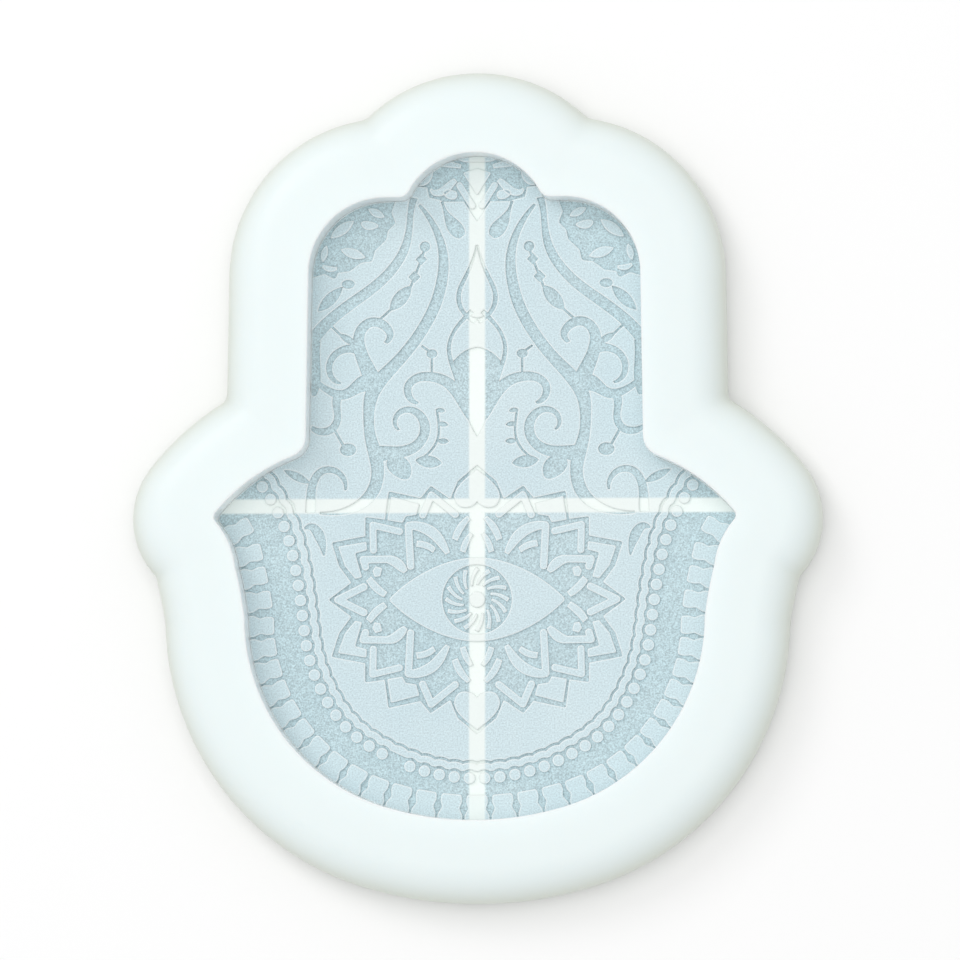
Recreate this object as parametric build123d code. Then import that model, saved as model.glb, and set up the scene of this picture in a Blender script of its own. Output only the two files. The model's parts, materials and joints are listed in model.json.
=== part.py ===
from build123d import *

import math
import os

# Silicone casting mould for a hand-shaped (hamsa) plaque, open at the top.
# Frame: +X to the right, +Y from the heel to the fingertips, +Z up.
# Origin: on the table, at the middle of the mould's length and width. Millimetres.
#
# The mould is one silicone moulding. It is drawn as its own regions, which meet face to face:
# a solid rim round the cavity, a thin floor, ribs under the floor, and a low relief on it.
# Every pad of the relief stands at one height, and everything between the pads is bare floor.
# The relief is drawn on its right half, and its left half is a mirror image.

# ---------------------------------------------------------------- driving dimensions
RIM_WIDTH = 15.6  # from the cavity wall to the outside
RIM_HEIGHT = 13.0
RIM_ROUNDING = 6.5  # outer top edge
CREASE_ROUNDING = 1.5  # where the rim's lobes meet

CAVITY_DEPTH = 8.0  # rim top to relief top
RELIEF = 0.4  # height of the relief above the floor
RELIEF_TOP = RIM_HEIGHT - CAVITY_DEPTH
FLOOR_TOP = RELIEF_TOP - RELIEF
FLOOR_THICKNESS = 1.8
FLOOR_BOTTOM = FLOOR_TOP - FLOOR_THICKNESS

RIB_WIDTH = 3.0
CROSS_RIB_WIDTH = 2.7
CROSS_RIB_Y = -3.4
RIB_REACH = 140.0  # longer than the cavity, which trims the ribs

# Cavity outline, right half.
CAVITY_TOP = 62.4
CAVITY_HEEL = -62.4
FINGER_RADIUS = 14.0  # tip of the middle finger
SHOULDER_TOP = 54.0
SHOULDER_RADIUS = 14.3  # tips of the outer fingers
HAND_HALF_WIDTH = 31.1
WRIST_CORNER = (31.6, 6.4)  # where the hand's side meets the thumb
THUMB_BULGE = (42.0, 1.2)
THUMB_TIP = (49.2, -5.8)
THUMB_HOLLOW = (46.3, -9.9)
PALM_SHOULDER = (44.8, -15.0)
PALM_SIDE = (43.7, -20.0)
PALM_HALF_WIDTH = 43.0
PALM_SIDE_RADIUS = 36.8
HEEL_RADIUS = 58.1
NOTCH_ROUNDING = 2.2
WRIST_ROUNDING = 4.0
THUMB_ROUNDING = 1.3
NOTCH_RISE = SHOULDER_TOP - CAVITY_TOP + FINGER_RADIUS
NOTCH = (math.sqrt(FINGER_RADIUS**2 - NOTCH_RISE**2), SHOULDER_TOP)  # between the fingertips

# Border of the palm: pads along the wall, then a channel, a row of beads and a wavy strip.
BEAD_RADIUS = 1.1
BEAD_PITCH = 2.86
BEADS_PER_SIDE = 27
BEAD_LEFT_OUT = 5  # the row skips this place on the left, counted from the heel
BITE_RADIUS = 1.6  # the strip's near edge, round each bead
WAVE_RADIUS = 2.9  # the strip's far edge, round each bead
STRIP_NEAR = 1.25  # bead line to the strip where no bead bites it
WAVES_BEYOND = 2  # waves of the strip past the last bead
BLOCK_DEPTH = 4.8
BLOCK_PITCH_HEEL = 5.2  # along the wall
BLOCK_PITCH_THUMB = 4.3
BLOCKS_PER_SIDE = 17  # and one at the heel
BLOCK_FOOT_DEPTH = 0.9
BLOCK_WAIST_DEPTH = 2.2
BLOCK_HEAD_DEPTH = 3.4
BLOCK_WAIST = 0.32  # half width as a share of the pitch
BLOCK_HEAD = 0.44
BLOCK_HEAD_TAPER = 0.94
BLOCK_CORNER = 0.6
GROOVE = 0.45  # width of the thin grooves
SMALLEST_PAD = 1.0  # square millimetres; slivers between grooves are left out
CHEVRON_TOP = 31.5  # between the centre line's chevron and its teardrop

# Eye.
EYE_Y = -21.0
EYE_HALF_WIDTH = 16.7
EYE_HALF_HEIGHT = 7.9
EYE_SIDE = (8.6, 5.8)  # a point on its outline
EYE_CORNER = 0.6
IRIS_RADIUS = 6.5
BLADES = 16
BLADE_START = 2.7
BLADE_END = 5.9
BLADE_WIDTH = 0.85
BLADE_ROOT = 0.55  # share of the width where a blade starts
BLADE_SWEEP = 24.0  # degrees that a blade turns on its way out
PUPIL_RADIUS = 1.5
PETAL_STROKE = 1.45


# ---------------------------------------------------------------- drawing helpers
def extruded(shape, bottom, top):
    """A flat shape raised from one height to another."""
    return extrude(Pos(0, 0, bottom) * shape, amount=top - bottom)


def polygon(*points, corner=0.3):
    """A closed outline of straight sides with eased corners."""
    face = make_face(Polyline(*points, close=True))
    return fillet(face.vertices(), corner) if corner else face


def blob(*points):
    """A closed outline that flows smoothly through its points."""
    return make_face(Spline(*points, periodic=True))


def brush(*marks):
    """A smooth stroke through (x, y, width) marks."""
    points = [Vector(x, y) for x, y, width in marks]
    left = []
    right = []
    for i, point in enumerate(points):
        run = points[min(i + 1, len(points) - 1)] - points[max(i - 1, 0)]
        across = Vector(-run.Y, run.X).normalized() * (marks[i][2] / 2)
        left.append(point + across)
        right.append(point - across)
    ends = [Line(left[-1], right[-1]), Line(right[0], left[0])]
    return make_face([Spline(*left), ends[0], Spline(*right[::-1]), ends[1]])


def bar(start, end, width):
    """A straight bar whose round ends are centred on start and end."""
    run = Vector(*end) - Vector(*start)
    middle = Vector(*start) + run * 0.5
    turn = math.degrees(math.atan2(run.Y, run.X))
    return Pos(middle) * Rot(0, 0, turn) * SlotOverall(run.length + width, width)


def stroke(*points, width=PETAL_STROKE):
    """A bent bar of even width."""
    bars = [bar(a, b, width) for a, b in zip(points, points[1:])]
    return bars[0] + bars[1:] if len(bars) > 1 else bars[0]


def diamond(x, y, size):
    """A small square standing on its corner."""
    return Pos(x, y) * Rot(0, 0, 45) * Rectangle(size, size)


def leaf(start, end, width):
    """A pointed leaf from start to end."""
    run = Vector(*end) - Vector(*start)
    side = Vector(-run.Y, run.X).normalized() * (width / 2)
    middle = Vector(*start) + run * 0.5
    arcs = [ThreePointArc(start, middle + side, end), ThreePointArc(end, middle - side, start)]
    return make_face(arcs)


def both_sides(*shapes):
    """Shapes and their mirror images across the centre line."""
    return list(shapes) + [mirror(shape, about=Plane.YZ) for shape in shapes]


def four_ways(*shapes):
    """Shapes drawn from the eye's centre, mirrored into all four quarters round the eye."""
    halves = both_sides(*shapes)
    quarters = halves + [mirror(shape, about=Plane.XZ) for shape in halves]
    return [Pos(0, EYE_Y) * quarter for quarter in quarters]


def beside(path, distance, steps=30):
    """A smooth line that runs to the left of a path."""
    points = []
    for i in range(steps + 1):
        run = path % (i / steps)
        points.append(path @ (i / steps) + Vector(-run.Y, run.X) * distance)
    return Spline(*points)


def inner_corners(face):
    """The sharp corners of an outline where two of its arcs cross."""
    corners = []
    for vertex in face.vertices():
        runs = []
        for edge in face.edges():
            for end, sign in ((0, 1), (1, -1)):
                if (edge @ end - vertex.center()).length < 0.001:
                    runs.append((edge % end) * sign)
        if runs[0].dot(runs[1]) > -0.95:
            corners.append(vertex)
    return corners


# ---------------------------------------------------------------- the moulding
def cavity_outline():
    """The hand: round middle finger, two outer fingers, flared thumbs and a round heel."""
    shoulder_x = HAND_HALF_WIDTH - SHOULDER_RADIUS
    shoulder_y = SHOULDER_TOP - SHOULDER_RADIUS
    heel_centre = CAVITY_HEEL + HEEL_RADIUS
    side_x = PALM_HALF_WIDTH - PALM_SIDE_RADIUS
    side_y = heel_centre - math.sqrt((HEEL_RADIUS - PALM_SIDE_RADIUS) ** 2 - side_x**2)
    lean = math.atan2(side_y - heel_centre, side_x)
    heel_join = (HEEL_RADIUS * math.cos(lean), heel_centre + HEEL_RADIUS * math.sin(lean))
    palm_side = (PALM_HALF_WIDTH, side_y)
    right = [
        RadiusArc((0, CAVITY_TOP), NOTCH, FINGER_RADIUS),
        Line(NOTCH, (shoulder_x, SHOULDER_TOP)),
        RadiusArc((shoulder_x, SHOULDER_TOP), (HAND_HALF_WIDTH, shoulder_y), SHOULDER_RADIUS),
        Line((HAND_HALF_WIDTH, shoulder_y), WRIST_CORNER),
        ThreePointArc(WRIST_CORNER, THUMB_BULGE, THUMB_TIP),
        ThreePointArc(THUMB_TIP, THUMB_HOLLOW, PALM_SHOULDER),
        ThreePointArc(PALM_SHOULDER, PALM_SIDE, palm_side),
        RadiusArc(palm_side, heel_join, PALM_SIDE_RADIUS),
        RadiusArc(heel_join, (0, CAVITY_HEEL), HEEL_RADIUS),
    ]
    return make_face(right + [mirror(edge, about=Plane.YZ) for edge in right])


def eased(outline, corner, radius):
    """The outline with a corner and its mirror image rounded."""
    x, y = corner
    pair = [v for v in outline.vertices() if math.hypot(abs(v.X) - x, v.Y - y) < 0.01]
    return fillet(pair, radius)


def cavity_shape(outline):
    """The cavity's outline with its corners rounded."""
    shape = eased(outline, NOTCH, NOTCH_ROUNDING)
    shape = eased(shape, WRIST_CORNER, WRIST_ROUNDING)
    return eased(shape, THUMB_TIP, THUMB_ROUNDING)


def rim_wall(cavity, outline):
    """The rounded rim, with the cavity cut through it."""
    outer = offset(outline, RIM_WIDTH, kind=Kind.ARC)
    outer = fillet(inner_corners(outer), CREASE_ROUNDING)
    rim = extruded(outer, 0, RIM_HEIGHT)
    rim = fillet(rim.edges().group_by(Axis.Z)[-1], RIM_ROUNDING)
    return rim - extruded(cavity, -1, RIM_HEIGHT + 1)


def cavity_floor(cavity):
    """The thin membrane that closes the cavity."""
    return extruded(cavity, FLOOR_BOTTOM, FLOOR_TOP)


def long_rib(cavity):
    """The stiffening rib from the middle finger to the heel, under the floor."""
    return extruded(Rectangle(RIB_WIDTH, RIB_REACH) & cavity, 0, FLOOR_BOTTOM)


def cross_rib(cavity):
    """The rib from thumb to thumb, in two halves that butt against the long rib."""
    strip = Pos(0, CROSS_RIB_Y) * Rectangle(RIB_REACH, CROSS_RIB_WIDTH)
    return extruded((strip & cavity) - Rectangle(RIB_WIDTH, RIB_REACH), 0, FLOOR_BOTTOM)


# ---------------------------------------------------------------- grooves of the fingers
def long_stems():
    """The two long curves that run down each finger, and the stem that they feed."""
    outer = brush(
        (11.9, 54.6, 1.4), (12.5, 52.1, 1.1), (12.8, 48.6, 1.2), (13.7, 44.9, 1.6), (15.9, 41.3, 1.8),
        (19.1, 38.1, 1.9), (23.2, 35.1, 2.0), (26.9, 32.3, 2.1), (30.2, 29.0, 2.3), (32.5, 25.6, 2.4),
    )
    inner = brush(
        (10.9, 53.3, 0.5), (8.5, 50.0, 1.0), (6.9, 46.4, 1.4), (6.3, 42.6, 1.8), (6.7, 38.5, 2.0),
        (7.8, 34.6, 2.1), (9.6, 30.9, 2.1), (12.2, 27.0, 2.1), (15.3, 23.4, 2.2), (18.3, 20.2, 2.6),
        (19.9, 17.4, 2.5), (20.4, 13.9, 2.0), (20.2, 10.2, 2.0), (19.2, 6.4, 2.5), (18.7, 2.9, 2.3),
        (19.4, -0.2, 2.3), (21.7, -2.9, 1.9), (25.2, -4.4, 1.1), (29.6, -4.7, 0.4),
    )
    edge = brush((30.4, 27.6, 1.7), (30.5, 24.0, 1.7), (30.5, 20.0, 1.8), (30.8, 17.4, 0.8))
    return [outer, inner, edge]


def scrolls():
    """The spirals that branch off the stems."""
    high = brush(
        (19.6, 19.6, 3.4), (21.0, 23.2, 2.6), (22.2, 26.6, 2.2), (21.9, 29.6, 1.9), (19.9, 31.2, 1.7),
        (17.7, 30.7, 1.6), (16.4, 29.0, 1.3), (17.2, 27.3, 0.7),
    )
    wall = brush(
        (21.8, 25.6, 2.4), (24.6, 26.2, 1.4), (27.0, 24.9, 1.2), (27.9, 22.7, 1.1), (27.3, 20.7, 0.9),
        (25.7, 19.7, 0.4),
    )
    under = brush(
        (19.6, 19.4, 3.0), (22.2, 19.3, 2.7), (25.0, 17.6, 1.8), (27.9, 18.3, 1.3),
        (30.6, 20.4, 0.9),
    )
    crook = brush(
        (25.6, 17.9, 1.4), (26.5, 15.4, 1.4), (26.3, 13.0, 1.3), (27.4, 11.1, 1.4), (29.2, 10.6, 1.3),
        (31.2, 11.4, 0.8),
    )
    middle = brush(
        (19.4, 6.2, 3.4), (16.2, 6.6, 2.4), (12.9, 7.1, 2.0), (10.5, 8.9, 1.8), (9.8, 11.5, 1.8),
        (10.8, 13.7, 1.5), (13.0, 14.7, 1.1), (14.9, 13.9, 0.9), (15.5, 12.3, 0.7), (14.7, 10.9, 0.4),
    )
    centre = brush(
        (0.9, 12.6, 1.0), (2.2, 15.4, 2.1), (3.9, 18.2, 2.2), (6.3, 20.2, 1.9), (9.0, 20.9, 1.7),
        (11.6, 20.5, 1.5), (13.0, 19.0, 1.4), (12.8, 17.2, 1.2), (11.1, 15.9, 0.5),
    )
    low = brush(
        (31.4, -4.6, 1.8), (31.3, -1.8, 1.7), (30.8, 1.2, 1.5), (29.2, 3.2, 1.3), (26.9, 3.3, 1.1),
        (25.2, 1.9, 0.9), (24.8, -0.4, 0.4),
    )
    return [high, wall, under, crook, middle, centre, low]


def sprigs():
    """Leaves, beads and thorns strung along the stems."""
    chain = [
        Pos(9.8, 45.4) * Circle(0.95), diamond(10.5, 43.0, 1.5), diamond(11.8, 39.7, 1.6),
        leaf((12.4, 38.0), (16.4, 33.4), 2.5),
        bar((9.8, 45.0), (10.4, 43.4), 0.4), bar((10.7, 42.4), (11.6, 40.2), 0.4),
        bar((12.0, 39.2), (12.5, 37.8), 0.4), bar((16.1, 33.7), (18.2, 31.8), 0.4),
    ]
    side = [
        leaf((25.4, 37.8), (30.0, 33.3), 2.1), Pos(24.3, 38.4) * Ellipse(1.2, 0.8),
        leaf((22.6, 26.9), (26.0, 29.0), 1.3), bar((25.7, 28.8), (27.6, 30.6), 0.4),
    ]
    drops = [
        Pos(24.3, 7.2) * Ellipse(1.5, 1.15), bar((26.9, 11.0), (25.2, 8.0), 0.45),
        Pos(8.5, 25.2) * Ellipse(1.0, 0.8), bar((8.9, 25.6), (10.3, 26.6), 0.4),
        bar((8.5, 24.9), (8.5, 21.4), 0.4),
    ]
    thorn_line = brush(
        (11.4, 5.1, 0.4), (9.0, 6.6, 0.4), (7.4, 9.2, 0.4), (7.2, 12.0, 0.4), (7.6, 14.8, 0.4),
    )
    thorns = [
        leaf((7.7, 14.7), (6.0, 14.4), 0.8), leaf((7.5, 12.1), (5.4, 11.8), 0.9),
        leaf((7.5, 8.8), (5.3, 8.7), 1.0),
    ]
    lobes = [
        leaf((11.6, 5.2), (6.6, 4.6), 2.2),
        blob((16.6, 5.6), (14.9, 2.0), (12.9, 1.8), (12.4, 3.4), (13.6, 5.6)),
    ]
    return chain + side + drops + [thorn_line] + thorns + lobes


def centre_leaves():
    """The teardrop, chevron and dark leaf on the centre line."""
    teardrop = brush(
        (0.1, 45.6, 0.3), (0.9, 42.6, 0.4), (2.2, 39.6, 0.7), (3.4, 36.6, 0.8), (3.2, 34.2, 0.8),
        (2.2, 32.6, 0.7), (0.2, 31.4, 1.2),
    )
    chevron = brush(
        (1.0, 33.2, 0.9), (2.9, 31.3, 0.7), (4.6, 28.9, 0.6), (5.3, 26.2, 0.7), (4.6, 22.8, 0.8),
        (3.4, 19.0, 0.9),
    )
    heart = make_face(
        [
            Spline((0, 26.4), (1.6, 26.0), (4.4, 23.8)),
            Spline((4.4, 23.8), (3.8, 20.6), (2.9, 16.6), (0, 9.6)),
            Line((0, 9.6), (0, 26.4)),
        ]
    )
    drop = brush(
        (6.6, 53.9, 0.6), (5.9, 51.9, 0.8), (4.9, 50.0, 2.2), (3.6, 48.3, 2.6),
        (2.8, 47.3, 1.2),
    )
    return [teardrop, chevron, heart, drop]


def crown_recess():
    """The bare floor round the crown of pads in the middle finger's tip."""
    side = [(9.4, 56.6), (9.0, 54.7), (7.3, 54.3), (6.2, 53.9), (2.5, 53.9)]
    right = [(15, CAVITY_TOP + 1), (11.8, 56.9)] + side
    points = right + [(0, 50.2)] + [(-x, y) for x, y in right[::-1]]
    return polygon(*points, corner=0)


def corner_recess():
    """The bare floor round the flower in the outer finger's tip."""
    return polygon(
        (14.9, 55.5), (16.2, 51.9), (15.4, 49.9), (16.8, 48.5), (17.2, 46.7), (19.3, 44.7),
        (19.8, 42.7),
        (21.8, 42.5), (24.0, 40.9), (26.3, 40.6), (26.7, 39.3), (28.8, 40.4), (32.5, 39.3),
        (32.5, 55.5),
        corner=0.55,
    )


# ---------------------------------------------------------------- the eye and its petals
def mandala_recess():
    """The star-shaped bare floor round the eye."""
    quarter = [
        (27.9, 0), (23.6, 3.2), (25.9, 6.3), (27.3, 10.7), (21.0, 11.9), (21.0, 15.5), (17.3, 15.0),
        (16.6, 20.3), (10.6, 19.0), (8.7, 21.3), (5.0, 18.8), (3.6, 22.2), (0, 25.2),
    ]
    top = quarter + [(-x, y) for x, y in quarter[-2::-1]]
    bottom = [(-x, -y) for x, y in top[1:-1]]
    return Pos(0, EYE_Y) * polygon(*(top + bottom), corner=0.25)


def almond():
    """The outline of the eye."""
    x, y = EYE_SIDE
    upper = [(-x, y), (0, EYE_HALF_HEIGHT), (x, y)]
    tips = [(-EYE_HALF_WIDTH, 0), (EYE_HALF_WIDTH, 0)]
    lid = Spline(tips[0], *upper, tips[1])
    eye = make_face([lid, mirror(lid, about=Plane.XZ)])
    return Pos(0, EYE_Y) * fillet(eye.vertices(), EYE_CORNER)


def iris_blades():
    """Curved blades that turn round the pupil."""
    blades = []
    for i in range(BLADES):
        marks = []
        for step in range(4):
            t = step / 3
            radius = BLADE_START + (BLADE_END - BLADE_START) * t
            angle = math.radians(360 * i / BLADES - BLADE_SWEEP * t)
            width = BLADE_WIDTH * (BLADE_ROOT + (1 - BLADE_ROOT) * t)
            marks.append((radius * math.cos(angle), EYE_Y + radius * math.sin(angle), width))
        blades.append(brush(*marks))
    return blades


def petals():
    """The pads round the eye, by name, each drawn once and mirrored into the four quarters."""
    boat = stroke((21.0, -6.2), (21.4, -7.5), (16.2, -7.6)) + brush(
        (17.0, -7.6, 1.45), (15.4, -7.1, 1.9), (14.0, -5.9, 1.6), (13.4, -5.2, 0.9)
    )
    rounded = stroke((12.5, -6.3), (12.9, -13.8)) + brush(
        (13.3, -13.9, 1.3), (11.2, -13.8, 1.8), (8.2, -12.4, 2.1), (6.4, -10.2, 1.6), (5.5, -8.6, 0.9)
    )
    return {
        "tip_strokes": [brush((20.4, -4.0, 1.3), (18.7, -2.0, 1.5), (17.2, -0.9, 1.2))],
        "leaf_petals": [
            polygon(
                (26.2, -10.0), (24.9, -6.3), (22.9, -3.9), (21.6, -4.2), (22.9, -8.7),
                (20.7, -9.3), (20.8, -10.9),
            )
        ],
        "boat_petals": [boat],
        "seed_pads": [polygon((19.3, -4.2), (18.2, -4.4), (17.8, -5.9), (19.1, -6.3), (19.7, -5.4))],
        "corner_petals": [stroke((19.5, -9.3), (19.6, -14.0), (14.6, -12.8), width=1.35)],
        "round_petals": [rounded],
        "inner_strokes": [brush((11.4, -10.5, 1.2), (9.7, -10.2, 1.3), (8.0, -9.2, 1.1))],
        "square_petals": [
            polygon(
                (16.9, -14.9), (14.0, -14.4), (13.4, -15.6), (11.4, -15.9), (10.8, -18.0),
                (16.2, -19.4),
            )
        ],
        "vee_petals": [stroke((10.2, -15.9), (8.6, -19.6), (4.1, -16.0), width=1.4)],
        "bud_strokes": [
            brush((2.7, -8.9, 1.1), (2.1, -10.7, 1.2), (1.0, -12.4, 0.8)),
            brush((4.2, -11.2, 1.2), (3.2, -13.4, 1.4), (1.5, -15.4, 0.9)),
        ],
    }


def chevrons():
    """One bent stroke at each end of the eye."""
    chevron = stroke((21.3, -2.4), (26.2, 0), (21.3, 2.4))
    return [Pos(0, EYE_Y) * shape for shape in both_sides(chevron)]


def buds():
    """The heart-shaped bud above and below the eye."""
    lobe = make_face(
        [
            Spline((0, -18.4), (1.6, -17.3), (3.5, -17.6), (4.3, -19.2), (2.9, -22.0), (0, -24.5)),
            Line((0, -24.5), (0, -18.4)),
        ]
    )
    bud = lobe + mirror(lobe, about=Plane.YZ)
    return [Pos(0, EYE_Y) * bud, Pos(0, EYE_Y) * mirror(bud, about=Plane.XZ)]


# ---------------------------------------------------------------- crown and corner flowers
def crown_pads(cavity):
    """Petals that fan out from the middle finger's tip, right half first."""
    heart = polygon((2.7, 59.3), (0, 60.2), (-2.7, 59.3), (0, 54.9))
    cap = blob((4.2, 62.4), (3.2, 61.6), (0, 61.3), (-3.2, 61.6), (-4.2, 62.4), (0, 63.6)) & cavity
    sides = [
        brush((8.0, 61.4, 1.5), (5.6, 61.0, 1.3), (3.0, 60.5, 0.8)) & cavity,
        blob((10.9, 56.9), (9.8, 57.0), (8.3, 59.6), (8.9, 60.9), (10.6, 59.6)) & cavity,
        brush((8.8, 56.3, 0.5), (8.1, 55.6, 1.1), (6.8, 55.7, 1.5), (5.4, 56.7, 1.5), (4.0, 58.0, 0.9)),
        blob((6.3, 55.4), (5.6, 54.5), (3.9, 54.5), (3.7, 55.4), (4.9, 56.1)),
        bar((3.3, 56.9), (0.9, 53.1), 1.3),
    ]
    return [heart, cap], both_sides(*sides)


def corner_pads(cavity):
    """Petals of the flower in each outer finger's tip."""
    pads = [
        leaf((27.7, 47.1), (23.2, 50.4), 2.0),
        leaf((20.6, 52.6), (17.4, 51.0), 1.5),
        blob((21.9, 50.0), (20.3, 50.3), (18.6, 49.3), (19.6, 48.7), (21.3, 48.9)),
        leaf((25.8, 45.0), (21.0, 43.4), 1.9),
        leaf((28.4, 45.8), (29.2, 42.6), 1.3),
        brush((29.2, 41.9, 0.6), (27.8, 41.3, 1.1), (26.4, 41.4, 0.6)),
    ]
    return both_sides(*[pad & cavity for pad in pads])


# ---------------------------------------------------------------- the palm's border
def bead_line():
    """The line of the beads, from the right thumb round the heel to the left thumb."""
    right = [
        (43.6, 5.0), (40.6, 0.5), (37.6, -4.4), (35.4, -10.0), (34.1, -15.7), (33.2, -21.4),
        (32.5, -27.1), (31.4, -32.7), (29.4, -37.8), (26.5, -42.7), (22.7, -46.7), (18.0, -49.8),
        (12.8, -52.2), (6.6, -53.9),
    ]
    return Spline(*(right + [(0, -54.5)] + [(-x, y) for x, y in right[::-1]]))


def bead_places(line, extra=0):
    """Bead centres, stepped out from the heel to both thumbs."""
    reach = BEADS_PER_SIDE + extra
    return {i: line @ (0.5 + (i + 0.5) * BEAD_PITCH / line.length) for i in range(-reach, reach)}


def beads(line, cavity):
    """The row of beads, with one place left empty."""
    places = bead_places(line)
    return [Pos(places[i]) * Circle(BEAD_RADIUS) & cavity for i in places if i != BEAD_LEFT_OUT]


def waves(line, radius):
    """Discs round every place of the bead row and a little past it."""
    return [Pos(place) * Circle(radius) for place in bead_places(line, WAVES_BEYOND).values()]


def border_zone(line, distance):
    """Everything outside a line that runs inside the beads."""
    edge = beside(line, -distance)
    far = 2 * CAVITY_TOP
    start = edge @ 0
    end = edge @ 1
    corners = [end, (-far, end.Y), (-far, -far), (far, -far), (far, start.Y), start]
    return make_face([edge, Polyline(*corners)])


def wavy_strip(line, cavity):
    """The narrow strip inside the beads: bitten at each bead, and wavy towards the field."""
    band = cavity - border_zone(line, STRIP_NEAR)
    strip = band & (Sketch() + waves(line, WAVE_RADIUS))
    places = bead_places(line)
    return strip - [Pos(places[i]) * Circle(BITE_RADIUS) for i in places if i != BEAD_LEFT_OUT]


def block(point, inward, pitch, cavity):
    """One pad of the border: wide at the wall, waisted, and wide again at its free end."""
    foot = pitch / 2 - GROOVE / 2
    waist = BLOCK_WAIST * pitch
    head = BLOCK_HEAD * pitch - GROOVE / 2
    side = [
        (foot, -1),
        (foot, BLOCK_FOOT_DEPTH),
        (waist, BLOCK_WAIST_DEPTH),
        (head, BLOCK_HEAD_DEPTH),
        (head * BLOCK_HEAD_TAPER, BLOCK_DEPTH),
    ]
    outline = polygon(*(side + [(-x, y) for x, y in side[::-1]]), corner=BLOCK_CORNER)
    turn = math.degrees(math.atan2(inward.Y, inward.X)) - 90
    return (Pos(point) * Rot(0, 0, turn) * outline) & cavity


def border_blocks(cavity):
    """Waisted pads along the wall, spaced a little wider towards the heel."""
    palm = cavity.faces()[0]
    wall = palm.outer_wire()
    heel = wall.param_at_point((0, CAVITY_HEEL))
    blocks = []
    for side in (1, -1):
        walked = 0
        for i in range(BLOCKS_PER_SIDE + 1):
            pitch = BLOCK_PITCH_HEEL + (BLOCK_PITCH_THUMB - BLOCK_PITCH_HEEL) * i / BLOCKS_PER_SIDE
            walked += pitch if i else 0
            t = (heel + side * walked / wall.length) % 1
            run = wall % t
            inward = Vector(-run.Y, run.X)
            if not palm.is_inside(wall @ t + inward):
                inward = inward * -1
            if i or side > 0:
                blocks.append(block(wall @ t, inward, pitch, cavity))
    return blocks


def palm_grooves():
    """The small curls beside the bead row."""
    comma = brush(
        (32.5, -7.6, 0.4), (31.2, -7.3, 1.3), (30.0, -8.4, 1.9), (29.2, -10.3, 1.5), (28.8, -12.7, 0.3)
    )
    return [comma, leaf((36.4, 3.4), (31.4, 0.9), 1.5)]


def field(cavity, line):
    """The plateau between the ornaments, cut through by every groove."""
    grooves = long_stems() + scrolls() + sprigs() + centre_leaves() + palm_grooves() + [corner_recess()]
    cuts = both_sides(*grooves) + [crown_recess(), mandala_recess()]
    cuts += [border_zone(line, STRIP_NEAR)] + waves(line, WAVE_RADIUS + GROOVE)
    plateau = cavity
    for cut in cuts:
        plateau -= cut
    return [face for face in plateau.faces() if face.area > SMALLEST_PAD]


def field_pads(cavity, line):
    """The plateau's pieces, by name."""
    pieces = sorted(field(cavity, line), key=lambda face: -face.area)
    centre = [face for face in pieces[1:] if abs(face.center().X) < 1]
    sides = [face for face in pieces[1:] if abs(face.center().X) >= 1]
    return {
        "main_field": pieces[:1],
        "centre_chevron": [face for face in centre if face.center().Y < CHEVRON_TOP],
        "centre_teardrop": [face for face in centre if face.center().Y >= CHEVRON_TOP],
        "finger_side_fields": [face for face in sides if face.center().Y >= CHEVRON_TOP],
        "scroll_fields": [face for face in sides if face.center().Y < CHEVRON_TOP],
    }


# ---------------------------------------------------------------- output
def relief_pads(cavity):
    """Every group of pads on the floor, by name, as flat shapes."""
    line = bead_line()
    crown, crown_sides = crown_pads(cavity)
    iris = Pos(0, EYE_Y) * Circle(IRIS_RADIUS)
    pads = {
        "eye_pad": [almond() - iris],
        "iris_blades": iris_blades(),
        "pupil_pad": [Pos(0, EYE_Y) * Circle(PUPIL_RADIUS)],
        "eye_chevrons": chevrons(),
        "bud_pads": buds(),
        "crown_pads": crown + crown_sides,
        "corner_flower_pads": corner_pads(cavity),
        "bead_row": beads(line, cavity),
        "wavy_strip": [wavy_strip(line, cavity)],
        "border_blocks": border_blocks(cavity),
    }
    for name, shapes in petals().items():
        pads[name] = four_ways(*shapes)
    return pads | field_pads(cavity, line)


def save(name, shapes):
    """One named sub-part."""
    solids = [solid for shape in shapes for solid in shape.solids()]
    export_step(Compound(children=solids) if len(solids) > 1 else solids[0], f"parts/{name}.step")


if __name__ == "__main__":
    os.makedirs("parts", exist_ok=True)
    outline = cavity_outline()
    cavity = cavity_shape(outline)
    save("rim_wall", [rim_wall(cavity, outline)])
    save("cavity_floor", [cavity_floor(cavity)])
    save("long_rib", [long_rib(cavity)])
    save("cross_rib", [cross_rib(cavity)])
    for name, shapes in relief_pads(cavity).items():
        save(name, [extruded(shape, FLOOR_TOP, RELIEF_TOP) for shape in shapes])
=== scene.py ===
# %% [markdown]
# # A silicone casting mould in the shape of a hamsa hand
#
# The real thing is one piece of milky, satin silicone: a broad pillow of a rim, a thin floor that
# looks blue-grey because so little silicone is there, and a low relief pressed into that floor.
# Two ribs run under the floor, and they show through it as a pale cross.
#
# The design already exists as a imported model, the frame. We load it, keep its sizes, and give it
# the soft edges and the finish that a drawing program leaves out.

# %% Load the frame
import json
import math

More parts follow.
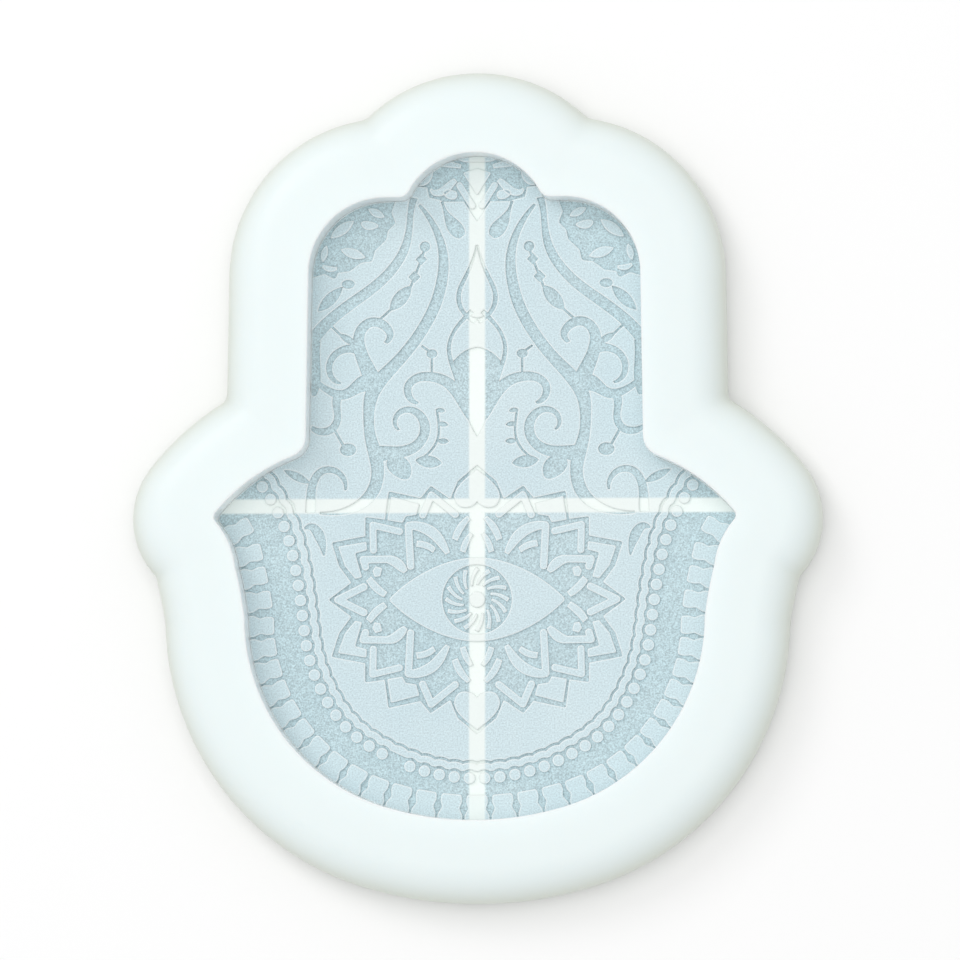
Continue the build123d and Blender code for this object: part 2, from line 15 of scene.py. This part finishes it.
import bpy
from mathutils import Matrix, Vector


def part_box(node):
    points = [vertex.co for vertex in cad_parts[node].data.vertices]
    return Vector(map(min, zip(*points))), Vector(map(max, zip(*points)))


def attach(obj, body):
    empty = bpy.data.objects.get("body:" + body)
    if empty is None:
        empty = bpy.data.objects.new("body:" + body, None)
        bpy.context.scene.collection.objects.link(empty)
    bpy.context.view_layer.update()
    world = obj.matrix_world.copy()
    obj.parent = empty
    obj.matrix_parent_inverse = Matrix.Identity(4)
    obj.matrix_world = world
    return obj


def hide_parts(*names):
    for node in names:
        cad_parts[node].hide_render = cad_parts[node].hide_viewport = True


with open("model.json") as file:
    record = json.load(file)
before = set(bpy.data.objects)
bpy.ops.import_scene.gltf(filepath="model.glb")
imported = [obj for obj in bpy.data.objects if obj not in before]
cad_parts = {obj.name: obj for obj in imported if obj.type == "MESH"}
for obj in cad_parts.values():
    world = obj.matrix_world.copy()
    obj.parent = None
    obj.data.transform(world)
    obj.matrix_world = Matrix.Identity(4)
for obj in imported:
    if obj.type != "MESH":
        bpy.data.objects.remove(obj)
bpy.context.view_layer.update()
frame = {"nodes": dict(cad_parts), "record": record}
nodes = frame["nodes"]
MM = 0.001

# %% [markdown]
# ## Heights that everything else leans on
#
# Nothing is measured twice. The rim, the floor and the relief give their own heights, and the two
# ribs give the places where the floor is thick.

# %% Read heights and ribs from the frame
rim_low, rim_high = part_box("rim_wall")
floor_low, floor_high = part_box("cavity_floor")
relief_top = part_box("main_field")[1].z
long_rib_low, long_rib_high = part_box("long_rib")
cross_rib_low, cross_rib_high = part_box("cross_rib")
print("rim top mm:", round(rim_high.z / MM, 2), "relief top mm:", round(relief_top / MM, 2))

# %% [markdown]
# ## Working helpers
#
# An operator acts on everything that is selected, so each helper first clears the selection.
# A copy of a frame node comes as loose triangles. Merging the doubled points makes it one skin,
# and dissolving the flat ones leaves clean outlines for a bevel to follow. An outline with very
# short edges can also have those collapsed, or a bevel folds over itself there.

# %% Select, copy and finish
SAME_POINT = 0.002 * MM
FLAT_ANGLE = math.radians(0.5)


def pick(piece):
    """Makes one object the only selected and active one."""
    bpy.ops.object.select_all(action="DESELECT")
    piece.select_set(True)
    bpy.context.view_layer.objects.active = piece


def merged_copy(node_name, name, shortest=0.0):
    """A copy of a frame node, joined into one skin, with its shortest edges collapsed if asked."""
    pick(nodes[node_name])
    bpy.ops.object.duplicate()
    piece = bpy.context.object
    piece.name = name
    piece.data.name = name
    for key in list(piece.keys()):
        del piece[key]
    piece.parent = None
    bpy.ops.object.mode_set(mode="EDIT")
    bpy.ops.mesh.select_all(action="SELECT")
    bpy.ops.mesh.customdata_custom_splitnormals_clear()
    bpy.ops.mesh.remove_doubles(threshold=SAME_POINT)
    bpy.ops.mesh.dissolve_limited(angle_limit=FLAT_ANGLE)
    bpy.ops.mesh.remove_doubles(threshold=shortest)
    bpy.ops.object.mode_set(mode="OBJECT")
    return piece


def modify(piece, kind, **settings):
    """Adds a modifier with its settings and applies it."""
    pick(piece)
    bpy.ops.object.modifier_add(type=kind)
    modifier = piece.modifiers[-1]
    for key, value in settings.items():
        setattr(modifier, key, value)
    bpy.ops.object.modifier_apply(modifier=modifier.name)


def dress(piece, *materials):
    """Gives a piece its materials."""
    piece.data.materials.clear()
    for material in materials:
        piece.data.materials.append(material)


# %% [markdown]
# ## Silicone
#
# Silicone has no pigment of its own. Thick silicone scatters light and looks milky white, thin
# silicone lets the shade below show and looks blue-grey. So one recipe serves every finish here:
# a thin colour, a second colour, and a soft mask that says where the second one lies: thick
# silicone over the ribs, and on the rim a painted shade towards the table. Every turned edge also
# gets a painted highlight. A fine frosted grain comes from noise, at the size of the blasted steel
# of the tool.
#
# The recipe is built from nodes, and a few helpers make them with one line each.

# %% A small kit for node trees
# The sockets of a Mix node in its colour mode
MIX_FACTOR, MIX_FIRST, MIX_SECOND, MIX_RESULT = 0, 6, 7, 2


def add_node(tree, kind, **values):
    """A shader node with its inputs set by name."""
    node = tree.nodes.new(kind)
    for key, value in values.items():
        node.inputs[key].default_value = value
    return node


def math_node(tree, operation, first, second=0.0, third=0.0):
    """One step of arithmetic on sockets or numbers, which gives its result socket."""
    node = tree.nodes.new("ShaderNodeMath")
    node.operation = operation
    for i, value in enumerate((first, second, third)):
        if isinstance(value, (int, float)):
            node.inputs[i].default_value = value
        else:
            tree.links.new(value, node.inputs[i])
    return node.outputs[0]


def ramp(tree, value, start, end, soft=True):
    """0 up to one value and 1 from another, with a soft or a straight rise between them."""
    node = tree.nodes.new("ShaderNodeMapRange")
    node.interpolation_type = "SMOOTHSTEP" if soft else "LINEAR"
    tree.links.new(value, node.inputs["Value"])
    node.inputs["From Min"].default_value = start
    node.inputs["From Max"].default_value = end
    return node.outputs["Result"]


def mixed(tree, factor, first, second):
    """A blend of two colours, each a socket or a plain colour."""
    node = tree.nodes.new("ShaderNodeMix")
    node.data_type = "RGBA"
    tree.links.new(factor, node.inputs[MIX_FACTOR])
    for i, value in ((MIX_FIRST, first), (MIX_SECOND, second)):
        if isinstance(value, tuple):
            node.inputs[i].default_value = (*value, 1)
        else:
            tree.links.new(value, node.inputs[i])
    return node.outputs[MIX_RESULT]


# %% [markdown]
# ## Where silicone looks thick, and the painted highlight and shade
#
# Three masks. Over a rib the silicone is thick. Along every turned edge the colour is painted
# whiter, a painted highlight. The outside of the rim is painted darker, warm and slightly green,
# towards the table, a painted shade. Each mask reads the shape itself, so it stays put from any
# side.

# %% Masks for ribs, painted edge highlights and painted foot shade
RIB_EDGE = 0.28 * MM
RIB_STRENGTH = 0.92
EDGE_HIGHLIGHT_STARTS, EDGE_HIGHLIGHT_FULL = 0.998, 0.93
FOOT_SHADE_STARTS, FOOT_SHADE_FULL = 0.95, 0.5


def band_mask(tree, along, middle, half_width, soft):
    """1 inside a straight band, 0 outside, with a soft edge."""
    away = math_node(tree, "ABSOLUTE", math_node(tree, "SUBTRACT", along, middle))
    outside = ramp(tree, away, half_width - soft, half_width + soft)
    return math_node(tree, "SUBTRACT", 1.0, outside)


def rib_mask(tree, place):
    """Where silicone is thick, because a rib stands under the floor."""
    split = tree.nodes.new("ShaderNodeSeparateXYZ")
    tree.links.new(place, split.inputs[0])
    long_half = (long_rib_high.x - long_rib_low.x) / 2
    cross_half = (cross_rib_high.y - cross_rib_low.y) / 2
    cross_middle = (cross_rib_high.y + cross_rib_low.y) / 2
    long_band = band_mask(tree, split.outputs["X"], 0.0, long_half, RIB_EDGE)
    cross_band = band_mask(tree, split.outputs["Y"], cross_middle, cross_half, RIB_EDGE)
    either = math_node(tree, "MAXIMUM", long_band, cross_band)
    return math_node(tree, "MULTIPLY", either, RIB_STRENGTH)


def edge_highlight_mask(tree, rounding):
    """How near an edge is, for the painted edge highlight: its rounded normal leaves the flat one
    there.
    """
    agreement = tree.nodes.new("ShaderNodeVectorMath")
    agreement.operation = "DOT_PRODUCT"
    flat = tree.nodes.new("ShaderNodeNewGeometry")
    tree.links.new(rounding.outputs["Normal"], agreement.inputs[0])
    tree.links.new(flat.outputs["True Normal"], agreement.inputs[1])
    return ramp(tree, agreement.outputs["Value"], EDGE_HIGHLIGHT_STARTS, EDGE_HIGHLIGHT_FULL)


def foot_shade_mask(tree, place):
    """Painted shade on the outside of the rim, from where it turns down to the table."""
    split = tree.nodes.new("ShaderNodeSeparateXYZ")
    tree.links.new(place, split.inputs[0])
    height = rim_high.z
    return ramp(tree, split.outputs["Z"], FOOT_SHADE_STARTS * height, FOOT_SHADE_FULL * height)


# %% [markdown]
# ## The recipe
#
# Cloudy variation at the size of a fingertip keeps broad surfaces from looking like paint. The
# grain darkens and lightens the thin colour a little. A painted highlight whitens the turned edges
# over that, and the second colour comes last, where its mask says: thick silicone over the ribs,
# painted shade at the rim's foot.

# %% The colour of silicone, with its painted edge highlight
CLOUD_SCALE = 60.0
CLOUD_GAIN, CLOUD_START = 0.3, -0.05
GRAIN_SCALE = 3400.0
GRAIN_LOW, GRAIN_HIGH = 0.3, 0.7
# Painted highlight: the colour that every turned edge is painted towards
EDGE_HIGHLIGHT_WHITE = (0.95, 0.99, 0.99)
CLOUD_WHITE = (0.82, 0.88, 0.87)


def noise_at(tree, place, scale, detail, roughness):
    """Noise that is fixed to the piece."""
    settings = {"Scale": scale, "Detail": detail, "Roughness": roughness}
    noise = add_node(tree, "ShaderNodeTexNoise", **settings)
    tree.links.new(place, noise.inputs["Vector"])
    return noise.outputs["Fac"]


def clouded_and_grained(tree, place, grain, grain_shade, thin, thick_and_foot_shade):
    """The thin colour with its slow clouds and its fine grain."""
    cloud = noise_at(tree, place, CLOUD_SCALE, 3.0, 0.55)
    cloudy = math_node(tree, "MULTIPLY_ADD", cloud, CLOUD_GAIN, CLOUD_START)
    colour = mixed(tree, cloudy, thin, CLOUD_WHITE if thin != thick_and_foot_shade else thick_and_foot_shade)
    speckle = ramp(tree, grain, GRAIN_LOW, GRAIN_HIGH, soft=False)
    strength = math_node(tree, "MULTIPLY_ADD", speckle, 2 * grain_shade, 1.0 - grain_shade)
    shade = tree.nodes.new("ShaderNodeVectorMath")
    shade.operation = "SCALE"
    tree.links.new(colour, shade.inputs[0])
    tree.links.new(strength, shade.inputs["Scale"])
    return shade.outputs[0]


# %% [markdown]
# The same grain roughens the surface as a bump, and a rounded normal lets each crisp edge catch
# the light as the soft real one does. Silicone bends light a little less than glass, and light
# scatters for a few millimetres inside a thick part, which gives the milky look.

# %% The silicone recipe
EDGE_ROUNDING = 0.5 * MM
EDGE_SAMPLES = 8
SILICONE_IOR = 1.41
SCATTER_TINT = (1.0, 1.05, 1.1)
SCATTER_DEPTH = 2.5 * MM


def silicone(name, thin, thick_and_foot_shade, rib_and_foot_shade_mask, roughness, grain_shade, grain_depth, scatter):
    """A milky silicone with a painted edge highlight. The mask places the second colour (rib
    thickness, painted foot shade) over the thin one.
    """
    material = bpy.data.materials.new(name)
    material.use_nodes = True
    tree = material.node_tree
    shader = tree.nodes["Principled BSDF"]
    place = tree.nodes.new("ShaderNodeTexCoord").outputs["Object"]
    grain = noise_at(tree, place, GRAIN_SCALE, 2.0, 0.6)
    rounding = add_node(tree, "ShaderNodeBevel", Radius=EDGE_ROUNDING)
    rounding.samples = EDGE_SAMPLES

    colour = clouded_and_grained(tree, place, grain, grain_shade, thin, thick_and_foot_shade)
    # Painted highlight: every turned edge is painted whiter
    colour = mixed(tree, edge_highlight_mask(tree, rounding), colour, EDGE_HIGHLIGHT_WHITE)
    # The second colour: thick silicone over the ribs, painted shade at the rim's foot
    colour = mixed(tree, rib_and_foot_shade_mask(tree, place), colour, thick_and_foot_shade)
    tree.links.new(colour, shader.inputs["Base Color"])

    bump = add_node(tree, "ShaderNodeBump", Strength=1.0, Distance=grain_depth)
    tree.links.new(grain, bump.inputs["Height"])
    tree.links.new(rounding.outputs["Normal"], bump.inputs["Normal"])
    tree.links.new(bump.outputs["Normal"], shader.inputs["Normal"])

    shader.inputs["Roughness"].default_value = roughness
    shader.inputs["IOR"].default_value = SILICONE_IOR
    shader.inputs["Subsurface Weight"].default_value = scatter
    shader.inputs["Subsurface Radius"].default_value = SCATTER_TINT
    shader.inputs["Subsurface Scale"].default_value = SCATTER_DEPTH
    return material


# %% [markdown]
# ## The five finishes
#
# The rim is thick and milky, with a broad sheen, and its outside is painted darker and warmer
# towards the table, a painted shade. The floor is thin and blue and has the strongest grain, and
# the pads on it are a step paler. The ribs are plain thick silicone. The cavity's wall is the same
# silicone painted paler than the rim, painted light that lifts the shade it stands in. Each call
# gives the mask, the roughness, the grain's shade and depth, and how much of the light scatters.

# %% Mix the finishes
# Painted shade: the rim's outside is painted darker and warmer towards the table
PAINTED_FOOT_SHADE = (0.65, 0.69, 0.625)
THICK_WHITE = (0.785, 0.85, 0.85)
# Painted light: the cavity's wall is painted paler than the rim, to lift the shade it stands in
PAINTED_LIGHT_WALL_WHITE = (0.93, 0.99, 0.985)
RIB_WHITE = (0.885, 0.935, 0.905)
THIN_BLUE = (0.437, 0.575, 0.62)
PAD_BLUE = (0.54, 0.675, 0.725)
PAD_RIB_WHITE = (0.83, 0.885, 0.86)

# The rim: milky silicone, with painted shade on its outside towards the table
rim_silicone = silicone(
    "rim_silicone", THICK_WHITE, PAINTED_FOOT_SHADE, foot_shade_mask, 0.36, 0.0, 0.002 * MM, 0.8
)
# The cavity's wall: painted light, paler than the rim's silicone
painted_light_wall_silicone = silicone(
    "cavity_wall_painted_light_silicone", PAINTED_LIGHT_WALL_WHITE, PAINTED_LIGHT_WALL_WHITE, foot_shade_mask, 0.36, 0.0, 0.002 * MM, 0.8
)
floor_silicone = silicone(
    "floor_silicone", THIN_BLUE, RIB_WHITE, rib_mask, 0.5, 0.30, 0.02 * MM, 0.1
)
relief_silicone = silicone(
    "relief_silicone", PAD_BLUE, PAD_RIB_WHITE, rib_mask, 0.35, 0.17, 0.015 * MM, 0.1
)
rib_silicone = silicone(
    "rib_silicone", RIB_WHITE, RIB_WHITE, rib_mask, 0.45, 0.02, 0.01 * MM, 0.2
)
print("materials:", [m.name for m in bpy.data.materials if m.name.endswith("silicone")])

# %% [markdown]
# ## The floor and the ribs
#
# These are plain slabs whose drawn shape is right, so the frame's own nodes stay and only get
# their finish. The floor is the thin silicone that shows in every groove of the relief.

# %% Dress the floor and the ribs
dress(nodes["cavity_floor"], floor_silicone)
RIBS = ("long_rib", "cross_rib")
for rib in RIBS:
    dress(nodes[rib], rib_silicone)
print("dressed as drawn: cavity_floor,", ", ".join(RIBS))

# %% [markdown]
# ## The relief
#
# In the tool every pad of the relief has a softened edge, or the silicone would tear there.
# That edge is what catches the light along the grooves. Each group of pads is copied from the
# frame and gets a narrow rounded bevel all round, so its outline stays where the frame has it.
# Weighted normals keep the flat tops evenly lit, although their faces are long and thin.

# %% Soften the relief pads
SLOTS = {row["node"]: row["material_slot"] for row in frame["record"]["subparts"]}
RELIEF_NODES = sorted(name for name, slot in SLOTS.items() if slot == "relief_silicone")
EDGE_SOFTNESS = 0.08 * MM
CORNER_ANGLE = math.radians(50)
PAD_SMOOTH_ANGLE = math.radians(35)
FLAT_TOP_WEIGHT = 60
STRIP_SHORTEST = 0.06 * MM  # the strip's waves meet in tiny edges


def softened_pads(node_name):
    """A group of pads with softened edges, which stands for its frame node."""
    shortest = STRIP_SHORTEST if node_name == "wavy_strip" else 0.0
    piece = merged_copy(node_name, node_name + "_soft", shortest)
    for edge in piece.data.edges:
        edge.use_edge_sharp = False
    modify(
        piece,
        "BEVEL",
        width=EDGE_SOFTNESS,
        segments=2,
        limit_method="ANGLE",
        angle_limit=CORNER_ANGLE,
        use_clamp_overlap=False,
    )
    pick(piece)
    bpy.ops.object.shade_smooth_by_angle(angle=PAD_SMOOTH_ANGLE)
    modify(piece, "WEIGHTED_NORMAL", keep_sharp=True, weight=FLAT_TOP_WEIGHT)
    dress(piece, relief_silicone)
    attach(piece, "root")
    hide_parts(node_name)
    return piece


pads = [softened_pads(name) for name in RELIEF_NODES]
print("relief pieces:", len(pads), "faces:", sum(len(pad.data.polygons) for pad in pads))

# %% [markdown]
# ## The rim
#
# The real rim is a pillow: highest beside the cavity, then falling away in one soft sweep to the
# rounded outside. The frame's rim has the right outline but a flat top. We fill its hole, turn it
# into an even skin of small squares, let each point sink a little with its distance from the
# cavity, smooth it, and only then cut the cavity out again, so that its edge stays crisp. The
# cutter carries a second material, which it leaves on the wall that it cuts: the same silicone
# painted paler, painted light that lifts the shade on the wall.

# %% Build the pillow of the rim
SKIN_SIZE = 0.5 * MM
PILLOW_DROP = 1.5 * MM
PILLOW_REACH = 15.6 * MM  # the rim's width
PILLOW_POWER = 1.8
FILLER_OVERLAP = 1.01
SKIN_SOFTENING = 0.5
SOFTENING_ROUNDS = 8
RIM_SMOOTH_ANGLE = math.radians(40)
CUT_MARGIN = 20 * MM
WALL_SLOT = 1


def cavity_prism(low, high, name):
    """The cavity's outline as a tall block, made from the floor."""
    prism = merged_copy("cavity_floor", name)
    for vertex in prism.data.vertices:
        upper = vertex.co.z > (floor_low.z + floor_high.z) / 2
        vertex.co.z = high if upper else low
    return prism


def rim_pillow():
    """The rim with a domed top and a crisp cavity."""
    cutter = cavity_prism(-CUT_MARGIN, rim_high.z + CUT_MARGIN, "cavity_cutter")
    dress(cutter, rim_silicone, painted_light_wall_silicone)
    for face in cutter.data.polygons:
        face.material_index = WALL_SLOT
    filler = cavity_prism(rim_low.z, rim_high.z, "cavity_filler")
    pick(filler)
    wider = (FILLER_OVERLAP, FILLER_OVERLAP, 1)
    bpy.ops.transform.resize(value=wider, center_override=(0, 0, 0))
    bpy.ops.object.transform_apply(location=True, rotation=True, scale=True)
    rim = merged_copy("rim_wall", "rim_pillow")
    pick(rim)
    filler.select_set(True)
    bpy.ops.object.join()
    modify(rim, "REMESH", mode="VOXEL", voxel_size=SKIN_SIZE)
    for vertex in rim.data.vertices:
        nearest, normal = cutter.closest_point_on_mesh(vertex.co)[1:3]
        outward = (vertex.co - nearest).dot(normal) > 0
        away = math.hypot(vertex.co.x - nearest.x, vertex.co.y - nearest.y) if outward else 0.0
        share = min(away / PILLOW_REACH, 1.0)
        vertex.co.z -= PILLOW_DROP * share**PILLOW_POWER * (vertex.co.z / rim_high.z)
    modify(rim, "SMOOTH", factor=SKIN_SOFTENING, iterations=SOFTENING_ROUNDS)
    dress(rim, rim_silicone, painted_light_wall_silicone)
    modify(rim, "BOOLEAN", operation="DIFFERENCE", object=cutter, solver="MANIFOLD")
    bpy.data.objects.remove(cutter)
    pick(rim)
    bpy.ops.object.shade_smooth_by_angle(angle=RIM_SMOOTH_ANGLE)
    return rim


rim = rim_pillow()
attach(rim, "root")
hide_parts("rim_wall")
walls = sum(face.material_index for face in rim.data.polygons)
print("rim faces:", len(rim.data.polygons), "of them cavity wall:", walls)

# %% [markdown]
# ## The stage
#
# Pale paper, a large softbox straight above for even light, a smaller key light from the upper
# left that draws the grooves, and a white surround that fills the shadows.

# %% Floor, lights and surround
PAPER_SIZE = 6.0
PAPER_WHITE = (0.9, 0.9, 0.9, 1)
SURROUND_STRENGTH = 0.72
bpy.ops.object.select_all(action="DESELECT")
bpy.ops.mesh.primitive_plane_add(size=PAPER_SIZE, location=(0, 0, rim_low.z))
table = bpy.context.object
table.name = "table"
paper = bpy.data.materials.new("pale_paper")
paper.use_nodes = True
paper_shader = paper.node_tree.nodes["Principled BSDF"]
paper_shader.inputs["Base Color"].default_value = PAPER_WHITE
paper_shader.inputs["Roughness"].default_value = 0.9
dress(table, paper)


def soft_light(name, place, size, watts):
    """A square area light that looks at the mould."""
    bpy.ops.object.light_add(type="AREA", location=place)
    lamp = bpy.context.object
    lamp.name = name
    lamp.data.size = size
    lamp.data.energy = watts
    lamp.rotation_euler = (-lamp.location).to_track_quat("-Z", "Y").to_euler()


soft_light("overhead_softbox", (-0.1, 0.15, 1.9), 1.6, 12.5)
soft_light("key_light", (-0.8, 0.8, 1.1), 0.6, 4.0)
world = bpy.data.worlds.new("white_surround")
world.use_nodes = True
surround = world.node_tree.nodes["Background"]
surround.inputs["Color"].default_value = (1, 1, 1, 1)
surround.inputs["Strength"].default_value = SURROUND_STRENGTH
bpy.context.scene.world = world
bpy.context.scene.view_settings.view_transform = "Standard"

# %% [markdown]
# ## The camera
#
# A long lens almost straight above, leaning a few degrees towards the lower right, so that the
# left and upper walls of the cavity just show.

# %% Camera
LENS = 270.0
DISTANCE = 1.35
LEAN_RIGHT = math.radians(4.1)
LEAN_DOWN = math.radians(3.3)
AIM = (0.2 * MM, 1.7 * MM)
FARTHEST_SEEN = 10.0
across = DISTANCE * math.tan(LEAN_RIGHT)
down = DISTANCE * math.tan(LEAN_DOWN) / math.cos(LEAN_RIGHT)
bpy.ops.object.camera_add(
    location=(AIM[0] + across, AIM[1] - down, DISTANCE),
    rotation=(LEAN_DOWN, LEAN_RIGHT, 0),
)
camera = bpy.context.object
camera.name = "camera"
camera.data.lens = LENS
camera.data.clip_end = FARTHEST_SEEN
bpy.context.scene.camera = camera
print("camera at m:", [round(value, 3) for value in camera.location])

# %% [markdown]
# ## Update the scene
#

# %% Update the scene
bpy.context.view_layer.update()
